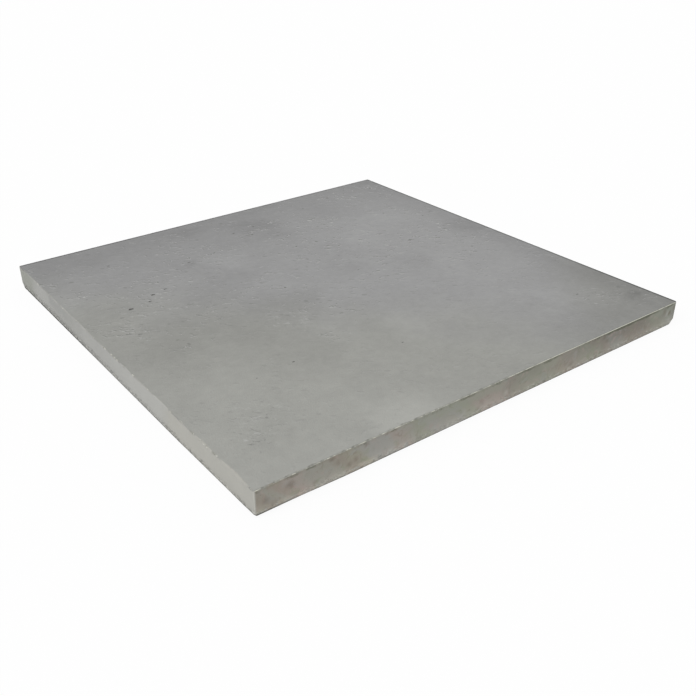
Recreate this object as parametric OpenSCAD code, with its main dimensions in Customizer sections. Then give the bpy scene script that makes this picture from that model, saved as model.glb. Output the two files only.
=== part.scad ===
// Square porcelain paving slab: one piece of stoneware, dry pressed, fired and ground to size.
// The walking face is up. The bed face lies on z = 0 with its centre at the origin.
// Two neighbouring sides (-X and -Y) are ground back to a full square edge. The other two
// (+X and +Y) keep the bevel that the press die leaves round the foot of the slab.

/* [Slab] */
// Length of each side of the square, face to face
side = 600; // [300:50:1200]
// Thickness, from the bed face to the walking face
thickness = 30; // [20:1:40]

/* [Edges] */
// Width and height of the arris ground along the walking face
top_arris = 1; // [0.5:0.25:2]
// Width and height of the arris along the foot of the two square sides
foot_arris = 1.25; // [0.5:0.25:3]
// Width of the die's bevel, measured across the bed face
bevel_run = 9; // [3:0.5:12]
// Height of the die's bevel, measured up the side face
bevel_rise = 9; // [3:0.5:12]
// Radius of the four upright corners
corner_radius = 2; // [0.5:0.5:6]

/* [Keying back] */
// Depth of the pockets pressed into the back
relief = 1; // [0.5:0.1:2]
// Distance from one rib to the next, which is eased so that the ribs fill the back evenly
rib_pitch = 45; // [20:1:80]
// Width of a rib where it stands on the bed
rib_crest = 5; // [3:0.5:10]
// Extra width of a rib on each flank at its root, which lets the die draw out
rib_draft = 1.5; // [0.5:0.5:3]
// Plain band between the foot of the bevel and the first row of pockets
plain_band = 23.5; // [10:0.5:40]

/* [Hidden] */
$fn = 48;
half = side / 2;
// Each shape that trims another runs past it by this much.
overrun = 5;
// From the middle of the back to the middle of the outermost rib, whose outer half is part of
// the plain band.
field_half = half - bevel_run - plain_band + rib_crest / 2;
// Pockets each way: an even number, so that two ribs cross at the middle of the back.
pockets = 2 * max(1, round(field_half / rib_pitch));
pitch = 2 * field_half / pockets;

// Section through the slab from a square side on the left to a bevelled side on the right.
module slab_section() {
    polygon([
        [-half, foot_arris],
        [-half + foot_arris, 0],
        [half - bevel_run, 0],
        [half, bevel_rise],
        [half, thickness - top_arris],
        [half - top_arris, thickness],
        [-half + top_arris, thickness],
        [-half, thickness - top_arris]
    ]);
}

// The section carried along Y, past both ends of the slab.
module section_bar() {
    rotate([90, 0, 0])
        linear_extrude(side + 2 * overrun, center = true)
            slab_section();
}

// Plan of the slab, with its four upright corners rounded.
module slab_plan() {
    inner = side - 2 * corner_radius;
    square([side, inner], center = true);
    square([inner, side], center = true);
    for (x = [-1, 1], y = [-1, 1])
        translate([x * inner / 2, y * inner / 2])
            circle(corner_radius);
}

// The two sections meet at a mitre in each corner. Mirroring in the plane x = y gives the
// second one, with its square side at -Y and its bevel at +Y.
module blank() {
    intersection() {
        section_bar();
        mirror([1, -1, 0]) section_bar();
        linear_extrude(thickness) slab_plan();
    }
}

// One rib's cross-section: its crest lies on the bed, and its flanks lean out to the root.
module rib_section() {
    crest = rib_crest / 2;
    root = crest + rib_draft;
    polygon([
        [-crest, -overrun],
        [crest, -overrun],
        [crest, 0],
        [root, relief],
        [root, relief + overrun],
        [-root, relief + overrun],
        [-root, relief],
        [-crest, 0]
    ]);
}

// Ribs that run along Y, one on each line of the grid.
module rib_row() {
    for (i = [0 : pockets])
        translate([-field_half + i * pitch, 0, 0])
            rotate([90, 0, 0])
                linear_extrude(2 * field_half + 2 * overrun, center = true)
                    rib_section();
}

// The pockets: what is left of a flat sheet between the two crossed rows of ribs.
module pocket_field() {
    difference() {
        translate([-field_half, -field_half, -overrun])
            cube([2 * field_half, 2 * field_half, overrun + relief]);
        rib_row();
        rotate([0, 0, 90]) rib_row();
    }
}

module tile() {
    color([0.60, 0.61, 0.58])
        difference() {
            blank();
            pocket_field();
        }
}

tile();
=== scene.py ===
import math
import random

import bmesh
import bpy
from mathutils import Matrix, Vector


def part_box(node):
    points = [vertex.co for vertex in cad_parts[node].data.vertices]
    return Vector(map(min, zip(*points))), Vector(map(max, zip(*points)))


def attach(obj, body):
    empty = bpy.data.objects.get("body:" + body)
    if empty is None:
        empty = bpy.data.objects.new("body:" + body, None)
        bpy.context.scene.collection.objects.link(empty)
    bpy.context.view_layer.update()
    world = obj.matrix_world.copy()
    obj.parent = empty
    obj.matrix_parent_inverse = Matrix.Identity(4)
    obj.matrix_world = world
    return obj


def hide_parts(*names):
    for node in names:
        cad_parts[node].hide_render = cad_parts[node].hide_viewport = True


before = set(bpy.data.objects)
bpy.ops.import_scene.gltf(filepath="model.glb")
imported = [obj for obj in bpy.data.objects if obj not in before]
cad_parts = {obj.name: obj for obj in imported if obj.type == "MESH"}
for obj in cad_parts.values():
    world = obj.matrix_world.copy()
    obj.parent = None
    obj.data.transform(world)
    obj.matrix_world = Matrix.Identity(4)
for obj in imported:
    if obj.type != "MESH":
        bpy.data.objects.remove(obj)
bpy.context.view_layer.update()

# ---------------------------------------------------------------------------------------------
# The slab: one square of porcelain stoneware, dry pressed in a die, fired and ground to size.
# Two sides are ground square, and the other two keep the bevel that the die leaves round the
# foot. The walking face is eased all round, and the left foot arris runs out towards the back.
# ---------------------------------------------------------------------------------------------
low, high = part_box("tile")
half = (high.x - low.x) / 2
top = high.z
foot_bevel = 0.009
foot_arris = 0.00125
arris_taper = 0.00085
top_arris = 0.001
corner_radius = 0.002
slack = 0.001


def middle(part):
    """The middle of an edge or a face."""
    return sum((corner.co for corner in part.verts), Vector()) / len(part.verts)


def climb(edge):
    """How far an edge climbs from one end to the other."""
    return abs(edge.verts[0].co.z - edge.verts[1].co.z)


def level(part, height):
    """Whether an edge or a face lies at a height."""
    return abs(middle(part).z - height) < 0.00002


def near(corner, x, y, z):
    """Whether a corner lies at a place."""
    return (corner.co - Vector((x, y, z))).length < 0.0001


def pick(kind, test):
    """In edit mode, selects the corners, edges or faces that pass a test, and nothing else."""
    bpy.ops.mesh.select_mode(type=kind)
    bpy.ops.mesh.select_all(action="DESELECT")
    shape = bmesh.from_edit_mesh(bpy.context.object.data)
    for part in {"VERT": shape.verts, "EDGE": shape.edges, "FACE": shape.faces}[kind]:
        if test(part):
            part.select_set(True)
    bmesh.update_edit_mesh(bpy.context.object.data)


bpy.ops.object.select_all(action="DESELECT")
bpy.ops.mesh.primitive_cube_add(size=1, location=(0, 0, top / 2), scale=(2 * half, 2 * half, top))
slab = bpy.context.object
slab.name = slab.data.name = "paving_slab"
bpy.ops.object.transform_apply(location=True, scale=True)

bpy.ops.object.mode_set(mode="EDIT")
pick("EDGE", lambda e: level(e, 0) and max(middle(e)[:2]) > half - slack)
bpy.ops.mesh.bevel(offset=foot_bevel, segments=1, affect="EDGES")
pick("EDGE", lambda e: level(e, 0) and middle(e).x < slack - half)
bpy.ops.mesh.subdivide(number_cuts=1)
pick("EDGE", lambda e: level(e, 0) and min(middle(e)[:2]) < slack - half)
bpy.ops.mesh.bevel(offset=foot_arris, segments=1, affect="EDGES")
pick("VERT", lambda v: near(v, -half, half - foot_bevel + foot_arris, foot_arris))
bpy.ops.transform.translate(value=(0, -arris_taper, -arris_taper))
pick("VERT", lambda v: near(v, foot_arris - half, half - foot_bevel, 0))
bpy.ops.transform.translate(value=(-arris_taper, 0, 0))
pick("EDGE", lambda e: climb(e) > top / 2)
bpy.ops.mesh.bevel(offset=corner_radius, segments=4, affect="EDGES")
pick("EDGE", lambda e: level(e, top))
bpy.ops.mesh.bevel(offset=top_arris, segments=3, affect="EDGES")
bpy.ops.object.mode_set(mode="OBJECT")


# ---------------------------------------------------------------------------------------------
# The bare body: ground porcelain, grey with olive, brown and pink streaks from the firing. The
# foot of each side is rougher, where the die lets go of the powder, and the face's own skin
# runs a little way over the left edge.
# ---------------------------------------------------------------------------------------------
class Wire:
    """A value on its way through a finish. Sums that are written with it become nodes."""

    def __init__(self, socket):
        self.socket = socket

    def node(self, kind, settings, inputs, output=0):
        """Adds a node beside this one, sets it, joins it up and gives one of its outputs."""
        tree = self.socket.id_data
        added = tree.nodes.new(kind)
        for name, value in settings.items():
            if name == "stops":
                ramp = added.color_ramp
                ramp.interpolation = "EASE"
                for at, tint in value[1:-1]:
                    ramp.elements.new(at).color = tint
                for end, (at, tint) in zip((0, -1), (value[0], value[-1])):
                    ramp.elements[end].position, ramp.elements[end].color = at, tint
            else:
                setattr(added, name, value)
        for name, value in inputs.items():
            if isinstance(value, Wire):
                tree.links.new(value.socket, added.inputs[name])
            else:
                added.inputs[name].default_value = value
        return Wire(added.outputs[output])

    def beside(self, output):
        """Another output of the node that this value comes from."""
        return Wire(self.socket.node.outputs[output])

    def sum(self, operation, first, second):
        """A maths operation on two values."""
        return self.node("ShaderNodeMath", {"operation": operation}, {0: first, 1: second})

    def __add__(self, other):
        return self.sum("ADD", self, other)

    def __radd__(self, other):
        return self.sum("ADD", other, self)

    def __sub__(self, other):
        return self.sum("SUBTRACT", self, other)

    def __rsub__(self, other):
        return self.sum("SUBTRACT", other, self)

    def __mul__(self, other):
        return self.sum("MULTIPLY", self, other)

    def __rmul__(self, other):
        return self.sum("MULTIPLY", other, self)

    def __abs__(self):
        return self.node("ShaderNodeMath", {"operation": "ABSOLUTE"}, {0: self})

    def either(self, other):
        """The larger of two masks."""
        return self.sum("MAXIMUM", self, other)

    def rises(self, start, end):
        """0 up to start, 1 from end on, and a smooth climb between."""
        inputs = {"Value": self, "From Min": start, "From Max": end}
        return self.node("ShaderNodeMapRange", {"interpolation_type": "SMOOTHSTEP"}, inputs)

    def falls(self, start, end):
        """1 up to start, 0 from end on, and a smooth drop between."""
        return 1 - self.rises(start, end)

    def between(self, start, end, soft):
        """1 from start to end, with soft edges."""
        return self.rises(start - soft, start + soft) * self.falls(end - soft, end + soft)

    def paints(self, under, over):
        """The colour under where this is 0, and the colour over where it is 1."""
        inputs = {0: self, 6: under, 7: over}
        return self.node("ShaderNodeMix", {"data_type": "RGBA"}, inputs, 2)

    def shaded(self, factor):
        """This colour made brighter or darker."""
        inputs = {0: self, "Scale": factor}
        return self.node("ShaderNodeVectorMath", {"operation": "SCALE"}, inputs)

    def along(self, axis):
        """One coordinate of a place."""
        return self.node("ShaderNodeSeparateXYZ", {}, {0: self}, axis)

    def stretched(self, x, y, z):
        """A place measured with its own ruler along each axis."""
        inputs = {0: self, 1: (x, y, z)}
        return self.node("ShaderNodeVectorMath", {"operation": "MULTIPLY"}, inputs)

    def moved(self, x, y, z):
        """A place shifted along the axes."""
        return self.node("ShaderNodeVectorMath", {"operation": "ADD"}, {0: self, 1: (x, y, z)})

    def clouds(self, size, detail=3, rough=0.5, bent=0):
        """Random patches about as large as size, from about -1 to 1."""
        inputs = {"Vector": self, "Scale": 1 / size}
        inputs.update({"Detail": detail, "Roughness": rough, "Distortion": bent})
        return (self.node("ShaderNodeTexNoise", {}, inputs) - 0.5) * 4

    def jostled(self, size, by):
        """A place shaken by random amounts, so that what is drawn on it loses its straight edges."""
        shake = self.node("ShaderNodeTexNoise", {}, {"Vector": self, "Scale": 1 / size}, "Color")
        inputs = {0: shake, 1: (by, by, by), 2: self.moved(-by / 2, -by / 2, -by / 2)}
        return self.node("ShaderNodeVectorMath", {"operation": "MULTIPLY_ADD"}, inputs)

    def specks(self, spacing, radius, share):
        """Round spots scattered at random. Share is the part of the scatter that shows."""
        spot = self.node("ShaderNodeTexVoronoi", {}, {"Vector": self, "Scale": 1 / spacing})
        chosen = spot.beside("Color").along(0).rises(1 - share, 1.001 - share)
        return spot.falls(0.5 * radius / spacing, radius / spacing) * chosen

    def curls(self, size, width, share):
        """Short curling scratches: pieces of a thin wandering line. Share is how much shows."""
        line = abs(self.clouds(size, 1)).falls(0, width)
        return line * self.moved(0.37, 0.21, 0.13).clouds(size, 2).rises(1 - share, 1.2 - share)

    def near(self, place, reach):
        """1 at a place, fading smoothly to 0 at its reach."""
        inputs = {0: self, 1: place}
        apart = self.node("ShaderNodeVectorMath", {"operation": "DISTANCE"}, inputs, "Value")
        return apart.falls(0, reach)


def finish(name, roughness, specular):
    """A new finish, its shader, and the place on the slab that it paints."""
    material = bpy.data.materials.new(name)
    material.use_nodes = True
    shader = material.node_tree.nodes["Principled BSDF"]
    shader.inputs["Roughness"].default_value = roughness
    shader.inputs["Specular IOR Level"].default_value = specular
    return material, shader, Wire(material.node_tree.nodes.new("ShaderNodeTexCoord").outputs["Object"])


def coat(shader, colour, height, depth, roughness=None):
    """Joins a colour, a surface relief of a depth, and where given a roughness, to a shader."""
    links = shader.id_data.links
    links.new(colour.socket, shader.inputs["Base Color"])
    bump = height.node("ShaderNodeBump", {}, {"Height": height, "Distance": depth})
    links.new(bump.socket, shader.inputs["Normal"])
    if roughness:
        links.new(roughness.socket, shader.inputs["Roughness"])


def skin_tone(place):
    """The cement look printed into the face: clouded grey and warmer to the front left, paler there partly by
    painted light, with painted shade along the two far edges.
    """
    x, y = place.along(0), place.along(1)
    flat = place.stretched(1, 1, 0)
    drawn = flat.jostled(0.06, 0.1).jostled(0.015, 0.03).stretched(1, 1, 0)
    warm = (x + y + 0.05 * flat.clouds(0.1)).falls(-0.26, 0.02)
    warm = warm.either((x - y).rises(0.36, 0.5) * 0.7)
    colour = warm.paints((0.276, 0.276, 0.275, 1), (0.285, 0.286, 0.266, 1))
    # Partly painted light: the broad brightening towards the front left and the darkening towards the back,
    # the right and the front right corner stand for light from the front left as well as the print.
    value = 1.02 - 0.1 * y.rises(0.0, 0.25) - 0.1 * y.rises(0.2, 0.3) - 0.1 * x.rises(0.24, 0.3)
    value = value + 0.15 * flat.near((-0.28, -0.29, 0), 0.34)
    value = value - 0.2 * flat.near((0.31, -0.3, 0), 0.24)
    for patch_x, patch_y, reach, change in (
        (-0.12, -0.31, 0.08, 0.2), (-0.3, 0.16, 0.05, 0.1), (-0.25, -0.24, 0.05, -0.09),
        (-0.25, -0.03, 0.09, -0.12), (-0.15, 0.0, 0.13, -0.12), (-0.14, -0.07, 0.07, -0.05),
        (-0.27, 0.27, 0.1, -0.05), (-0.29, 0.07, 0.07, -0.05),
        (-0.11, 0.09, 0.05, -0.07), (-0.05, 0.27, 0.2, -0.04),
        (-0.06, -0.01, 0.06, -0.08), (-0.14, -0.14, 0.08, -0.09), (-0.06, 0.15, 0.05, 0.07),
        (-0.12, 0.17, 0.03, -0.13), (0.03, 0.22, 0.06, -0.13), (-0.08, 0.28, 0.03, -0.07),
        (0.15, 0.13, 0.09, 0.09), (0.22, 0.14, 0.06, 0.07), (0.12, 0.05, 0.07, 0.02),
        (0.05, 0.03, 0.05, -0.07), (0.13, -0.02, 0.05, -0.06), (0.0, -0.14, 0.05, 0.1),
        (0.19, -0.07, 0.1, 0.03), (0.19, -0.19, 0.06, 0.09), (0.28, 0.03, 0.06, -0.14),
        (0.29, -0.05, 0.12, -0.05), (0.3, -0.17, 0.1, -0.11), (0.17, -0.3, 0.1, -0.1),
        (0.29, -0.28, 0.08, -0.06), (0.31, 0.3, 0.09, 0.07), (0.262, -0.262, 0.025, -0.16),
        (0.286, -0.286, 0.02, 0.12),
    ):
        value = value + change * drawn.near((patch_x, patch_y, 0), reach)
    value = value + 0.09 * flat.clouds(0.06, 5, 0.75)
    value = value + 0.065 * flat.moved(0.5, 0, 0).clouds(0.014, 3, 0.85)
    # Painted shade: a dark band along the two far edges of the face, which face away from the light.
    far_edge_shade = x.either(y).rises(half - 0.0045, half - 0.002)
    value = value - (0.55 + 0.15 * x.falls(-0.2, 0)) * far_edge_shade
    return colour.shaded(value)


ground_body, body_shader, place = finish("ground_body", 0.75, 0.3)
x, y, z = place.along(0), place.along(1), place.along(2)
on_left = x.falls(0.0004 - half, 0.0025 - half)
on_front = y.falls(0.0004 - half, 0.0025 - half) * (1 - on_left)
left_back = on_left * y.rises(0.04, 0.14)
right_foot = on_front * x.rises(-0.15, -0.11)
wall = place.jostled(0.02, 0.03).jostled(0.006, 0.008)

grey, stone, drab = (0.344, 0.335, 0.296, 1), (0.356, 0.35, 0.325, 1), (0.34, 0.33, 0.285, 1)
straw, olive, rose = (0.345, 0.325, 0.26, 1), (0.325, 0.33, 0.265, 1), (0.37, 0.325, 0.29, 1)
ochre, clay, rust = (0.315, 0.28, 0.232, 1), (0.3, 0.278, 0.24, 1), (0.345, 0.297, 0.255, 1)
moss, umber, slate = (0.285, 0.287, 0.235, 1), (0.268, 0.24, 0.205, 1), (0.282, 0.282, 0.255, 1)
streaked_run = 0.62
front_streaks = (wall.along(0) + 0.9 * wall.along(2)) * (1 / streaked_run) + half / streaked_run
front_streaks = front_streaks.node("ShaderNodeValToRGB", {"stops": (
    (0, olive), (0.035, ochre), (0.055, drab), (0.075, rust), (0.1, rose), (0.13, grey), (0.16, drab),
    (0.185, ochre), (0.205, straw), (0.235, stone), (0.265, stone), (0.285, rose), (0.31, grey),
    (0.33, olive), (0.355, stone), (0.38, grey), (0.405, stone), (0.43, olive), (0.455, rose), (0.5, rose),
    (0.525, clay), (0.57, moss), (0.62, moss), (0.65, ochre), (0.68, clay), (0.74, moss), (0.775, umber),
    (0.8, slate), (0.83, umber), (0.88, umber), (0.935, moss), (0.97, slate),
)}, {0: front_streaks})
smoky, ash, dull = (0.26, 0.265, 0.24, 1), (0.32, 0.32, 0.305, 1), (0.295, 0.295, 0.28, 1)
chalk, buff = (0.36, 0.36, 0.34, 1), (0.36, 0.355, 0.325, 1)
left_streaks = (half - y - 0.4 * z + 0.006 * place.clouds(0.018, 3, 0.65)) * (0.5 / half)
left_streaks = left_streaks.node("ShaderNodeValToRGB", {"stops": (
    (0, smoky), (0.05, smoky), (0.1, ash), (0.16, ash), (0.185, dull), (0.3, dull), (0.4, ash),
    (0.69, chalk), (0.73, buff),
)}, {0: left_streaks})
elsewhere = wall.clouds(0.05, 3, 0.6).rises(-0.6, 0.6).paints(drab, stone)
body = on_front.paints(elsewhere, (0.8 + 0.2 * wall.clouds(0.02, 3, 0.6)).paints(grey, front_streaks))
body = on_left.paints(body, left_streaks)
rough_foot = (z + 0.003 * place.clouds(0.012) - 0.002 * on_left * y.rises(-0.2, 0.1)).falls(0.004, 0.009)
value = 1 + 0.04 * wall.clouds(0.03, 4, 0.7) + 0.02 * place.clouds(0.003, 3, 0.6)
# Painted light: the front side is made paler towards its foot, as if lit from the white floor, and darker
# high up.
value = value + on_front * (0.2 * z.falls(0, 0.016) + 0.22 * z.falls(0.002, 0.011))
value = value - on_front * (0.06 + 0.06 * x.rises(-0.15, -0.02)) * z.rises(0.012, 0.024)
value = value - 0.08 * on_front * x.rises(0.12, 0.2) * z.rises(0.006, 0.02)
# Painted shade: the left side is darker just above its foot, most in the middle and towards the back.
left_foot_shade = 0.04 + 0.1 * y.rises(-0.02, 0.12) - 0.18 * y.rises(0.25, 0.28)
value = value - on_left * z.falls(0.003, 0.013) * left_foot_shade
grit = place.stretched(1, 1, 2).jostled(0.008, 0.006)
value = value + rough_foot * grit.clouds(0.005, 2, 0.7) * (0.2 + 0.3 * on_left)
# More painted light from the floor along the front foot, and more on its left part.
value = value + on_front * z.falls(0.004, 0.008) * (0.08 + 0.04 * x.falls(-0.15, -0.1))
value = value + 0.17 * on_front * z.falls(0.004, 0.01) * x.between(-0.29, -0.15, 0.02)
# Painted shade: the sides darken at their far upright corners.
far_corner_shade = (on_left * y).either(on_front * x).rises(half - 0.003, half - 0.0012)
value = value - 0.3 * far_corner_shade
body = body.shaded(value)
for tint, shift, size, squashed in (
    ((0.42, 0.335, 0.31, 1), 0, 0.016, 1.4), ((0.26, 0.29, 0.2, 1), 0.3, 0.016, 1.4),
    ((0.33, 0.34, 0.33, 1), 0.6, 0.016, 1.4), ((0.4, 0.31, 0.28, 1), 0.15, 0.006, 0.6),
    ((0.23, 0.245, 0.18, 1), 0.45, 0.006, 0.6), ((0.2, 0.17, 0.14, 1), 0.75, 0.006, 0.6),
):
    blotch = wall.moved(shift, 0, shift).stretched(1, 1, squashed).clouds(size, 2).rises(0.3, 1)
    body = (0.4 * (1 - on_left) * blotch).paints(body, tint)
green_film, lip_shadow = (0.305, 0.325, 0.265, 1), (0.12, 0.125, 0.09, 1)
greened = x.between(-0.115, 0.005, 0.01).either(x.between(0.06, 0.09, 0.01))
greened = 0.5 * on_front * greened.either(x.rises(0.24, 0.26))
body = (greened * (z + 0.003 * wall.clouds(0.02)).rises(0.015, 0.022)).paints(body, green_film)
# Painted shadow: an uneven dark band just under the lip of the walking face, strongest on the front and none
# on the left side.
under_lip = (z + 0.0015 * place.clouds(0.01, 3, 0.6)).rises(top - 0.0048, top - 0.0028)
lip_shade_amount = 0.65 * wall.clouds(0.022, 3, 0.65).rises(-0.1, 0.7)
lip_shade_amount = 0.1 + lip_shade_amount.either(0.85 * x.between(0.165, 0.262, 0.01))
body = ((0.2 + 0.8 * on_front - 0.2 * on_left) * under_lip * lip_shade_amount).paints(body, lip_shadow)
stain_brown, fleck_pale = (0.17, 0.14, 0.11, 1), (0.46, 0.455, 0.41, 1)
near_wall = place.jostled(0.006, 0.006).stretched(1, 0, 1)
for spot_x, height, reach, strength in (
    (-0.262, 0.0195, 0.007, 0.55), (-0.288, 0.0145, 0.007, 0.45), (-0.281, 0.008, 0.006, 0.3),
    (-0.237, 0.009, 0.005, 0.3), (-0.217, 0.027, 0.005, 0.6), (-0.21, 0.019, 0.005, 0.35),
    (-0.198, 0.0125, 0.005, 0.4), (-0.19, 0.015, 0.005, 0.4), (-0.178, 0.026, 0.005, 0.5),
    (-0.033, 0.007, 0.005, 0.4), (-0.028, 0.014, 0.006, 0.3), (0.11, 0.01, 0.006, 0.4),
    (0.165, 0.025, 0.006, 0.6), (0.17, 0.019, 0.005, 0.4), (0.278, 0.022, 0.007, 0.5),
    (0.288, 0.018, 0.004, 0.8), (0.297, 0.022, 0.006, 0.5),
):
    stain = on_front * near_wall.near((spot_x, 0, height), reach)
    body = (strength * stain).paints(body, stain_brown)
for spot_x, height, reach in ((0.283, 0.018, 0.006), (0.288, 0.008, 0.008), (0.007, 0.012, 0.005)):
    fleck = on_front * near_wall.near((spot_x, 0, height), reach)
    body = (0.45 * fleck).paints(body, fleck_pale)
crumb_pale, grime_dark, shadow_black = (0.52, 0.515, 0.47, 1), (0.15, 0.145, 0.13, 1), (0.06, 0.06, 0.052, 1)
crumbs = grit.moved(0.1, 0.3, 0).clouds(0.0055, 2).rises(0.1, 0.4) * z.between(0.003, 0.0065, 0.001)
body = ((0.6 + 0.25 * on_front) * crumbs).paints(body, crumb_pale)
spray = grit.moved(0.2, 0.5, 0).clouds(0.0055, 2)
sprayed = on_left * y.rises(-0.2, -0.08) * z.falls(0.007, 0.014)
body = (0.4 * sprayed * spray.rises(0.5, 0.9)).paints(body, (0.2, 0.2, 0.19, 1))
body = (0.45 * sprayed * (-1 * spray).rises(0.5, 0.9)).paints(body, (0.5, 0.5, 0.47, 1))
grime = grit.moved(0.3, 0.1, 0).clouds(0.005, 2).rises(0.2, 0.45) * z.falls(0.003, 0.009)
body = ((0.15 + 0.1 * on_front + 0.35 * left_back) * grime).paints(body, grime_dark)
# Painted contact shadow: a dark line along the foot of each side, heaviest at the back of the left side and
# on the front, and darkest at the front corner.
line_height = z + 0.0004 * place.clouds(0.006) - 0.001 * (on_left - left_back)
line_height = line_height + 0.0004 * right_foot + on_front * (0.0004 - 0.0012 * x.falls(-0.27, -0.2))
foot_shadow_line = line_height.falls(0.0022, 0.0032) * grit.clouds(0.006).rises(-1, 0)
foot_shadow_line = foot_shadow_line * (0.25 + 0.7 * left_back + 0.4 * on_front + 0.35 * right_foot)
foot_shadow_line = foot_shadow_line.either(0.85 * (x + y).falls(-2 * half, 0.07 - 2 * half) * z.falls(0.0032, 0.0048))
body = foot_shadow_line.paints(body, shadow_black)
smut = on_front * wall.moved(0.1, 0.2, 0).clouds(0.007, 3, 0.65).rises(0.85, 1.2)
body = (0.35 * smut).paints(body, (0.17, 0.155, 0.125, 1))
run_over = on_left * y.between(0.108, 0.19, 0.006) * (z + 0.004 * wall.clouds(0.02)).rises(0.015, 0.018)
body = (run_over * 0.75).paints(body, skin_tone(place).shaded(0.95))
# Painted highlight: a pale line down the front upright corner, above the foot.
upright = x.falls(0.0004 - half, 0.0016 - half) * y.falls(0.0004 - half, 0.0016 - half)
body = (0.6 * upright * z.rises(0.004, 0.006)).paints(body, (0.5, 0.5, 0.46, 1))
coat(body_shader, body, place.clouds(0.0015, 4, 0.7) * (0.3 + rough_foot), 0.0004)
slab.data.materials.append(ground_body)


# ---------------------------------------------------------------------------------------------
# The walking face: the cement look is printed and fired into the top of the slab as a thin
# matt skin. It has soft clouds, dark pin holes and specks, a few fine scuffs, and clusters of dark
# curls that stand partly for the shade of small dimples, with a painted pale highlight beside each.
# ---------------------------------------------------------------------------------------------
walking_skin, skin_shader, place = finish("walking_skin", 0.62, 0.35)
x, y, flat = place.along(0), place.along(1), place.stretched(1, 1, 0)
skin = skin_tone(place)
busy = flat.clouds(0.07, 2).rises(-0.6, 0.3) * (0.2 + 0.5 * (x * 0.3 + y).rises(-0.15, 0.1))
loose = flat.jostled(0.03, 0.05).jostled(0.01, 0.02).stretched(1, 1, 0)
for spot_x, spot_y, reach, thick in (
    (0.03, 0.215, 0.06, 1.3), (0.1, 0.2, 0.07, 1.3), (0.06, 0.15, 0.07, 1.4), (0.09, 0.115, 0.08, 1.3),
    (0.13, 0.16, 0.06, 1.4), (-0.12, 0.18, 0.06, 1.2), (-0.075, 0.175, 0.06, 1.3), (-0.27, 0.16, 0.05, 1),
    (-0.22, 0.12, 0.07, 0.9), (-0.215, 0.08, 0.06, 0.9), (-0.27, 0.03, 0.05, 1.1), (-0.17, 0.12, 0.04, 0.7),
    (-0.17, 0.02, 0.06, 0.8), (-0.1, 0.02, 0.05, 0.7), (-0.03, 0.03, 0.05, 0.7), (-0.22, -0.02, 0.05, 0.9),
    (-0.07, -0.03, 0.06, 0.9), (-0.02, -0.07, 0.06, 0.9), (0.08, -0.02, 0.05, 1), (0.13, 0.03, 0.06, 1),
    (0.19, 0.05, 0.07, 1.2), (0.24, 0.05, 0.07, 1.2), (0.26, 0, 0.05, 1), (0.28, -0.25, 0.05, 0.8),
    (0.235, -0.235, 0.04, 0.9), (-0.245, -0.215, 0.04, 0.5), (-0.08, -0.12, 0.04, 0.6), (0.27, 0.12, 0.04, 1),
    (0.2, 0.25, 0.07, 1.4), (0.27, 0.26, 0.07, 1.5),
):
    busy = busy.either(thick * loose.near((spot_x, spot_y, 0), reach))
# The marks lie longer one way, about 35 degrees off the front edge.
brushed = flat.node("ShaderNodeCombineXYZ", {}, {0: 0.45 * x - 0.32 * y, 1: 0.58 * x + 0.81 * y})
shaken = brushed.jostled(0.004, 0.004)
marks = shaken.curls(0.0082, 0.14, 0.95).either(shaken.specks(0.008, 0.0022, 0.1))
skin = (0.9 * marks * busy).paints(skin, (0.13, 0.13, 0.125, 1))
# Painted highlight: the dark curls stand partly for the shaded side of small dimples, and this pale copy,
# moved 1.7 mm, paints their lit side.
pale = shaken.moved(0, 0.0017, 0).curls(0.0082, 0.14, 0.95)
skin = (0.6 * pale * busy).paints(skin, (0.47, 0.47, 0.46, 1))
scuffed = flat.near((-0.18, 0.08, 0), 0.15).either(flat.near((0.15, 0.06, 0), 0.16) * 0.6)
scuffed = scuffed * shaken.clouds(0.025, 2).rises(0, 0.5)
for spot_x, spot_y, reach, thick in (
    (0.235, -0.235, 0.045, 0.9), (-0.235, -0.205, 0.045, 0.9), (-0.258, 0.024, 0.045, 0.9),
    (-0.1, -0.06, 0.045, 0.9), (-0.26, -0.235, 0.045, 0.9), (-0.274, 0.033, 0.02, 1.4),
    (-0.248, 0.019, 0.02, 1.4), (-0.27, 0.15, 0.02, 1.4),
):
    scuffed = scuffed.either(thick * flat.near((spot_x, spot_y, 0), reach))
scuffs = shaken.moved(0.2, 0.4, 0).clouds(0.006, 3, 0.7)
skin = (0.8 * (-1 * scuffs).rises(0.35, 0.8) * scuffed).paints(skin, (0.15, 0.15, 0.145, 1))
skin = (0.65 * scuffs.rises(0.3, 0.75) * scuffed).paints(skin, (0.46, 0.46, 0.45, 1))
coat(skin_shader, skin, place.clouds(0.002, 4, 0.65), 0.00009, 0.62 + 0.05 * flat.clouds(0.03))


def lay(made_of, test):
    """Gives a finish of its own to the faces that pass a test."""
    slab.data.materials.append(made_of)
    bpy.ops.object.mode_set(mode="EDIT")
    pick("FACE", test)
    slab.active_material_index = len(slab.data.materials) - 1
    bpy.ops.object.material_slot_assign()
    bpy.ops.object.mode_set(mode="OBJECT")


lay(walking_skin, lambda f: f.normal.z > 0.999)


# ---------------------------------------------------------------------------------------------
# The eased arris: a wheel takes 1 mm off the edge of the walking face. It cuts through the
# skin. Along the front the cut shows as a thin pale line, partly bare body and partly a painted
# highlight, and painted shade darkens the cut at its far ends.
# ---------------------------------------------------------------------------------------------
eased_arris, arris_shader, place = finish("eased_arris", 0.7, 0.3)
x, y, z = place.along(0), place.along(1), place.along(2)
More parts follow.
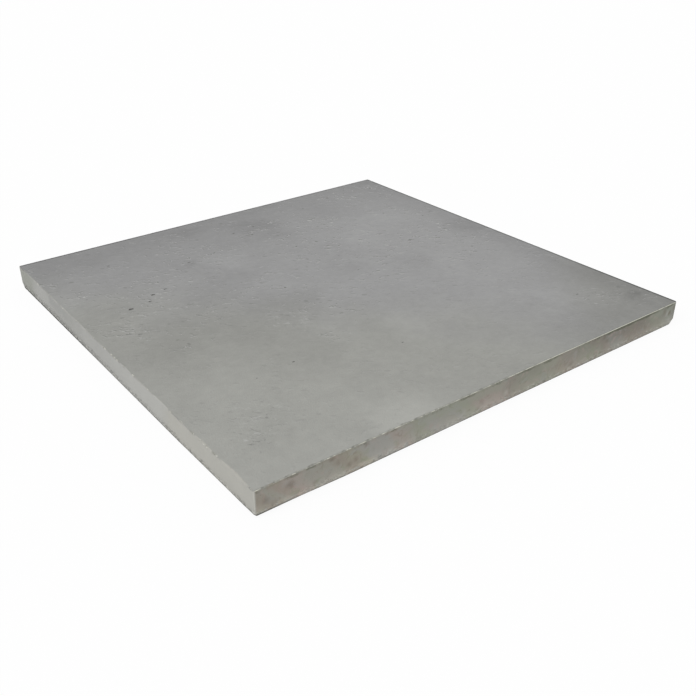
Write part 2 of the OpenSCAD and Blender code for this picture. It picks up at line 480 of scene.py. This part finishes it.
# The front cut is painted paler from the middle on, as partly a painted highlight, and painted shade darkens
# it at the far right end.
bare = place.clouds(0.007, 3, 0.65) + 0.45 * x.rises(-0.05, 0.1) - 0.6 * x.rises(0.28, half)
cut = bare.rises(-0.5, 0.4).paints((0.33, 0.33, 0.29, 1), (0.64, 0.64, 0.55, 1))
cut = z.rises(top - 0.00035, top - 0.0002).paints(cut, skin_tone(place))
worn_left = place.clouds(0.02).rises(-0.6, 0.6).paints((0.27, 0.27, 0.255, 1), (0.35, 0.35, 0.325, 1))
# Painted shade: the left cut darkens at its far end.
worn_left = y.rises(0.262, 0.28).paints(worn_left, (0.21, 0.21, 0.205, 1))
cut = x.falls(0.0005 - half, 0.0015 - half).paints(cut, worn_left)
cut = cut.shaded(1 + 0.06 * place.clouds(0.002, 3, 0.6))
coat(arris_shader, cut, place.clouds(0.001, 3, 0.7), 0.0002)
lay(eased_arris, lambda f: 0.01 < f.normal.z < 0.999)


# ---------------------------------------------------------------------------------------------
# The keyed back: a square grid of low ribs that the lower punch presses into the bed face, so
# that mortar grips it. The pockets between the ribs have eased corners and drafted sides.
# ---------------------------------------------------------------------------------------------
pockets = 12
rib_pitch = 0.045
rib_crest = 0.005
rib_draft = 0.0015
relief = 0.001
pocket_corner = 0.003
floor_round = 0.0005
punch_clear = 0.0002
first = -rib_pitch * (pockets - 1) / 2

pressed_back, back_shader, place = finish("pressed_back", 0.8, 0.3)
back = place.clouds(0.07).rises(-0.7, 0.7).paints((0.3, 0.3, 0.285, 1), (0.34, 0.335, 0.31, 1))
back = (0.3 * place.specks(0.012, 0.0012, 0.3)).paints(back, (0.22, 0.21, 0.19, 1))
back = (0.45 * place.along(2).falls(0.0001, 0.0005)).paints(back, (0.46, 0.455, 0.44, 1))
back = back.shaded(1 + 0.05 * place.clouds(0.004, 4, 0.65))
coat(back_shader, back, place.clouds(0.0015, 4, 0.7), 0.0003)
lay(pressed_back, lambda f: f.normal.z < -0.999)


def carve(cutter):
    """Takes a cutter out of the slab. The cut faces keep the cutter's finish."""
    cut = slab.modifiers.new("cut", "BOOLEAN")
    cut.object = cutter
    cut.operation = "DIFFERENCE"
    cut.solver = "MANIFOLD"
    cut.material_mode = "TRANSFER"
    bpy.context.view_layer.objects.active = slab
    bpy.ops.object.modifier_apply(modifier="cut")
    bpy.data.objects.remove(cutter)


bpy.ops.object.select_all(action="DESELECT")
slant = rib_draft / relief
stroke = relief + punch_clear
across = rib_pitch - rib_crest + 2 * slant * punch_clear
centre = (first, first, relief - stroke / 2)
bpy.ops.mesh.primitive_cube_add(size=1, location=centre, scale=(across, across, stroke))
punch = bpy.context.object
bpy.ops.object.transform_apply(location=True, scale=True)
bpy.ops.object.mode_set(mode="EDIT")
pick("VERT", lambda v: v.co.z > 0)
drafted = 1 - 2 * slant * stroke / across
bpy.ops.transform.resize(value=(drafted, drafted, 1), center_override=(first, first, 0))
pick("EDGE", lambda e: climb(e) > relief)
bpy.ops.mesh.bevel(offset=pocket_corner, segments=4, affect="EDGES")
pick("EDGE", lambda e: min(corner.co.z for corner in e.verts) > 0)
bpy.ops.mesh.bevel(offset=floor_round, segments=2, affect="EDGES")
bpy.ops.object.mode_set(mode="OBJECT")
punch.data.materials.append(pressed_back)
for step in ((rib_pitch, 0, 0), (0, rib_pitch, 0)):
    row = punch.modifiers.new("row", "ARRAY")
    row.count = pockets
    row.use_relative_offset = False
    row.use_constant_offset = True
    row.constant_offset_displace = step
    bpy.ops.object.modifier_apply(modifier="row")
carve(punch)


# ---------------------------------------------------------------------------------------------
# Knocks: the edges are chipped from sawing, grinding and stacking. A fresh break shows the
# pale, sugary inside of the body. The left edge is worn round towards the front corner.
# ---------------------------------------------------------------------------------------------
fresh_break, break_shader, place = finish("fresh_break", 0.8, 0.3)
sugary = place.along(0).falls(0.003 - half, 0.01 - half).paints((0.46, 0.46, 0.41, 1), (0.62, 0.615, 0.56, 1))
broken = place.clouds(0.005).rises(-0.5, 0.5).paints((0.33, 0.33, 0.295, 1), sugary)
broken = broken.shaded(1 + 0.08 * place.clouds(0.0015, 3, 0.7))
coat(break_shader, broken, place.clouds(0.001, 4, 0.7), 0.0005)
worn_lump, chip_lump = 0.0003, 0.0006
lumps = bpy.data.textures.new("lumps", "CLOUDS")


def knock_out(bites, made_of, lump):
    """Cuts a set of lumpy hollows that don't touch each other, each a centre and half sizes."""
    bpy.ops.object.select_all(action="DESELECT")
    (centre, reach), *others = bites
    bpy.ops.mesh.primitive_ico_sphere_add(subdivisions=2, radius=1, location=centre, scale=reach)
    cutter = bpy.context.object
    bpy.ops.object.transform_apply(location=True, scale=True)
    bpy.ops.object.mode_set(mode="EDIT")
    for centre, reach in others:
        bpy.ops.mesh.primitive_ico_sphere_add(subdivisions=2, radius=1, location=centre, scale=reach)
    bpy.ops.object.mode_set(mode="OBJECT")
    cutter.data.materials.append(made_of)
    lumps.noise_scale = 4 * lump
    rough = cutter.modifiers.new("rough", "DISPLACE")
    rough.texture = lumps
    rough.texture_coords = "GLOBAL"
    rough.strength = lump
    bpy.ops.object.modifier_apply(modifier="rough")
    carve(cutter)


def chips(start, end, outward, gap, length, bite):
    """Hollows along an edge, one after the other with gaps between them."""
    start, end, outward = Vector(start), Vector(end), Vector(outward)
    way = (end - start).normalized()
    row, at = [], 0
    while True:
        long, wide, deep = random.uniform(*length) / 2, random.uniform(*bite), random.uniform(*bite)
        at += random.uniform(*gap) + long
        if at + long > (end - start).length:
            return row
        one, other = [axis for axis in range(3) if outward[axis]]
        sides = Vector((0, 0, 0))
        sides[one], sides[other] = outward[one] * wide, outward[other] * deep
        reach = [abs(a) * long + abs(b) * 1.5 for a, b in zip(way, sides)]
        row.append((start + way * at + sides * 0.5, reach))
        at += long


def rub(start, end, outward, depth, girth=0.008):
    """Takes the edge off between two places with one long shallow hollow."""
    start, end, outward = Vector(start), Vector(end), Vector(outward).normalized()
    centre = (start + end) / 2 + outward * (girth - depth)
    longer = 0.5 / math.sqrt(1 - (1 - depth / girth) ** 2)
    reach = [abs(a) * longer + (girth if b else 0) for a, b in zip(end - start, outward)]
    knock_out([(centre, reach)], ground_body, worn_lump)


# The three long hollows along the foot reach past the front corner, so they are deepest there.
left, front, lip, foot = -half, -half, top, 0
for begin, stop, depth in (
    (0.27, 0.23, 0.0011), (0.13, 0.05, 0.0012), (-0.01, -0.07, 0.0011), (-0.09, -0.16, 0.0012),
    (-0.185, -0.245, 0.0014), (-0.235, -0.3, 0.0018),
):
    rub((left, begin, lip), (left, stop, lip), (-1, 0, 1), depth)
rub((left, front, lip), (-0.26, front, lip), (0, -1, 1), 0.001)
rub((left, -0.11, foot), (left, -0.49, foot), (-1, 0, -1), 0.0027)
rub((left, -0.24, foot), (left, -0.36, foot), (-1, 0, -1), 0.0032)
rub((-0.44, front, foot), (-0.16, front, foot), (0, -1, -1), 0.0024)
knock_out([((left, front, -0.0035), (0.0062, 0.0062, 0.0068))], ground_body, worn_lump)

random.seed(11)
for start, end, outward, gap, length, bite in (
    ((left, front, lip), (0.02, front, lip), (0, -1, 1), (0.001, 0.008), (0.005, 0.014), (0.001, 0.0018)),
    ((left, front, lip), (0.0, front, lip), (0, -1, 1), (0.004, 0.02), (0.002, 0.006), (0.0008, 0.0014)),
    ((0.02, front, lip), (half, front, lip), (0, -1, 1), (0.015, 0.06), (0.001, 0.004), (0.0007, 0.0011)),
    ((left, half, lip), (left, front, lip), (-1, 0, 1), (0.01, 0.05), (0.003, 0.012), (0.0009, 0.0016)),
    ((left, 0.0, lip), (left, -0.03, lip), (-1, 0, 1), (0.001, 0.002), (0.005, 0.009), (0.0014, 0.002)),
    ((left, -0.18, lip), (left, -0.24, lip), (-1, 0, 1), (0.002, 0.006), (0.006, 0.012), (0.0013, 0.002)),
    ((half, front, lip), (half, half, lip), (1, 0, 1), (0.02, 0.08), (0.002, 0.006), (0.0008, 0.0012)),
    ((half, half, lip), (left, half, lip), (0, 1, 1), (0.02, 0.08), (0.002, 0.006), (0.0008, 0.0012)),
    ((left, half, foot), (left, front, foot), (-1, 0, -1), (0.004, 0.03), (0.002, 0.008), (0.0009, 0.0015)),
    ((left, front, foot), (half, front, foot), (0, -1, -1), (0.004, 0.03), (0.002, 0.008), (0.0009, 0.0015)),
    ((left, front, 0.004), (left, front, lip), (-1, -1, 0), (0.002, 0.008), (0.002, 0.004), (0.0006, 0.001)),
):
    knock_out(chips(start, end, outward, gap, length, bite), fresh_break, chip_lump)


# ---------------------------------------------------------------------------------------------
# Pits: small hollows in the walking face, where a grain came away or gas got out in the fire.
# They are wider than deep, and their bottoms are painted darker than the skin, as shade in the hollows.
# ---------------------------------------------------------------------------------------------
pit_bottom, pit_shader, place = finish("pit_bottom", 0.85, 0.2)
pit = place.clouds(0.001).rises(-0.5, 0.5).paints((0.13, 0.13, 0.125, 1), (0.24, 0.24, 0.23, 1))
coat(pit_shader, pit, place.clouds(0.0006, 3, 0.7), 0.0003)
pits = []
for x, y, size in (
    (-0.235, 0.085, 0.003), (-0.196, 0.106, 0.0032), (-0.176, 0.112, 0.0019), (-0.204, 0.225, 0.0017),
    (-0.207, 0.091, 0.0024), (-0.112, 0.169, 0.0021), (-0.01, 0.224, 0.0018), (0.027, 0.23, 0.0019),
    (0.009, 0.203, 0.0018), (0.129, 0.248, 0.0018), (-0.053, 0.023, 0.0018), (-0.199, -0.144, 0.0013),
    (-0.15, -0.139, 0.0016), (-0.029, -0.177, 0.0014), (0.221, -0.214, 0.0016), (0.11, 0.02, 0.0016),
    (0.054, 0.01, 0.0015), (0.035, 0.127, 0.0015), (-0.068, 0.178, 0.0015), (0.256, 0.11, 0.0015),
    (0.205, -0.045, 0.0014),
):
    wide, long = size * random.uniform(0.9, 1.3), size * random.uniform(0.5, 0.8)
    pits.append(((x, y, top + 0.0003), (wide, long, 0.55 * size)))
knock_out(pits, pit_bottom, 0.0004)


# ---------------------------------------------------------------------------------------------
# The finished slab: its level and upright faces are shaded flat, and its small rounds smooth. It
# stands for the modelled tile, rides on the one body and takes the porcelain finish.
# ---------------------------------------------------------------------------------------------
bpy.ops.object.select_all(action="DESELECT")
slab.select_set(True)
bpy.ops.object.shade_smooth_by_angle(angle=math.radians(35))
bpy.ops.object.mode_set(mode="EDIT")
pick("FACE", lambda f: max(abs(side) for side in f.normal) > 0.99999)
bpy.ops.mesh.faces_shade_flat()
bpy.ops.object.mode_set(mode="OBJECT")
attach(slab, "root")
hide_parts("tile")

# ---------------------------------------------------------------------------------------------
# The studio: a white floor and a white surround, a soft light from the left, and the camera
# to the front left and above.
# ---------------------------------------------------------------------------------------------
floor_gap = 0.0002
bpy.ops.object.select_all(action="DESELECT")
bpy.ops.mesh.primitive_plane_add(size=8, location=(0, 0, -floor_gap))
floor = bpy.context.object
floor.name = "floor"
white_floor, floor_shader, place = finish("white_floor", 1, 0)
floor_shader.inputs["Base Color"].default_value = (0.9, 0.9, 0.9, 1)
tree = white_floor.node_tree
seen = place.node("ShaderNodeLightPath", {}, {}, "Is Camera Ray")
seen = seen.either(seen.beside("Is Glossy Ray")).either(seen.beside("Is Transmission Ray"))
glow = place.node("ShaderNodeEmission", {}, {"Color": (1, 1, 1, 1), "Strength": 1})
shown = place.node("ShaderNodeMixShader", {}, {0: seen * 0.93, 1: Wire(floor_shader.outputs[0]), 2: glow})
tree.links.new(shown.socket, tree.nodes["Material Output"].inputs["Surface"])
floor.data.materials.append(white_floor)

world = bpy.data.worlds.new("surround")
bpy.context.scene.world = world
world.use_nodes = True
tree = world.node_tree
backdrop = tree.nodes["Background"]
backdrop.inputs["Color"].default_value = (1, 1, 1, 1)
backdrop.inputs["Strength"].default_value = 0.6
light = Wire(backdrop.outputs[0])
seen = light.node("ShaderNodeLightPath", {}, {}, "Is Camera Ray")
seen = seen.either(seen.beside("Is Glossy Ray")).either(seen.beside("Is Transmission Ray"))
bright = light.node("ShaderNodeBackground", {}, {"Color": (1, 1, 1, 1), "Strength": 1})
shown = light.node("ShaderNodeMixShader", {}, {0: seen, 1: light, 2: bright})
tree.links.new(shown.socket, tree.nodes["World Output"].inputs["Surface"])

lamp = bpy.data.lights.new("window_light", "SUN")
lamp.energy = 1.78
lamp.angle = math.radians(40)
window_light = bpy.data.objects.new("window_light", lamp)
window_light.rotation_euler = Vector((-1, -0.05, 1)).to_track_quat("Z", "Y").to_euler()
bpy.context.collection.objects.link(window_light)

turn, tilt, roll, away = math.radians(-35.708), math.radians(29.173), math.radians(-0.861), 0.9936
target = Vector((-0.0713, -0.0935, 0))
camera_data = bpy.data.cameras.new("camera")
camera_data.lens = 43.78
camera_data.sensor_width = 36
camera_data.shift_x = 0.0285
camera = bpy.data.objects.new("camera", camera_data)
backward = Vector((math.sin(turn) * math.cos(tilt), -math.cos(turn) * math.cos(tilt), math.sin(tilt)))
sideways = Vector((math.cos(turn), math.sin(turn), 0))
facing = Matrix((sideways, backward.cross(sideways), backward)).transposed()
facing = facing @ Matrix.Rotation(roll, 3, "Z")
camera.matrix_world = Matrix.Translation(target + backward * away) @ facing.to_4x4()
bpy.context.collection.objects.link(camera)
bpy.context.scene.camera = camera
bpy.context.scene.view_settings.view_transform = "Standard"
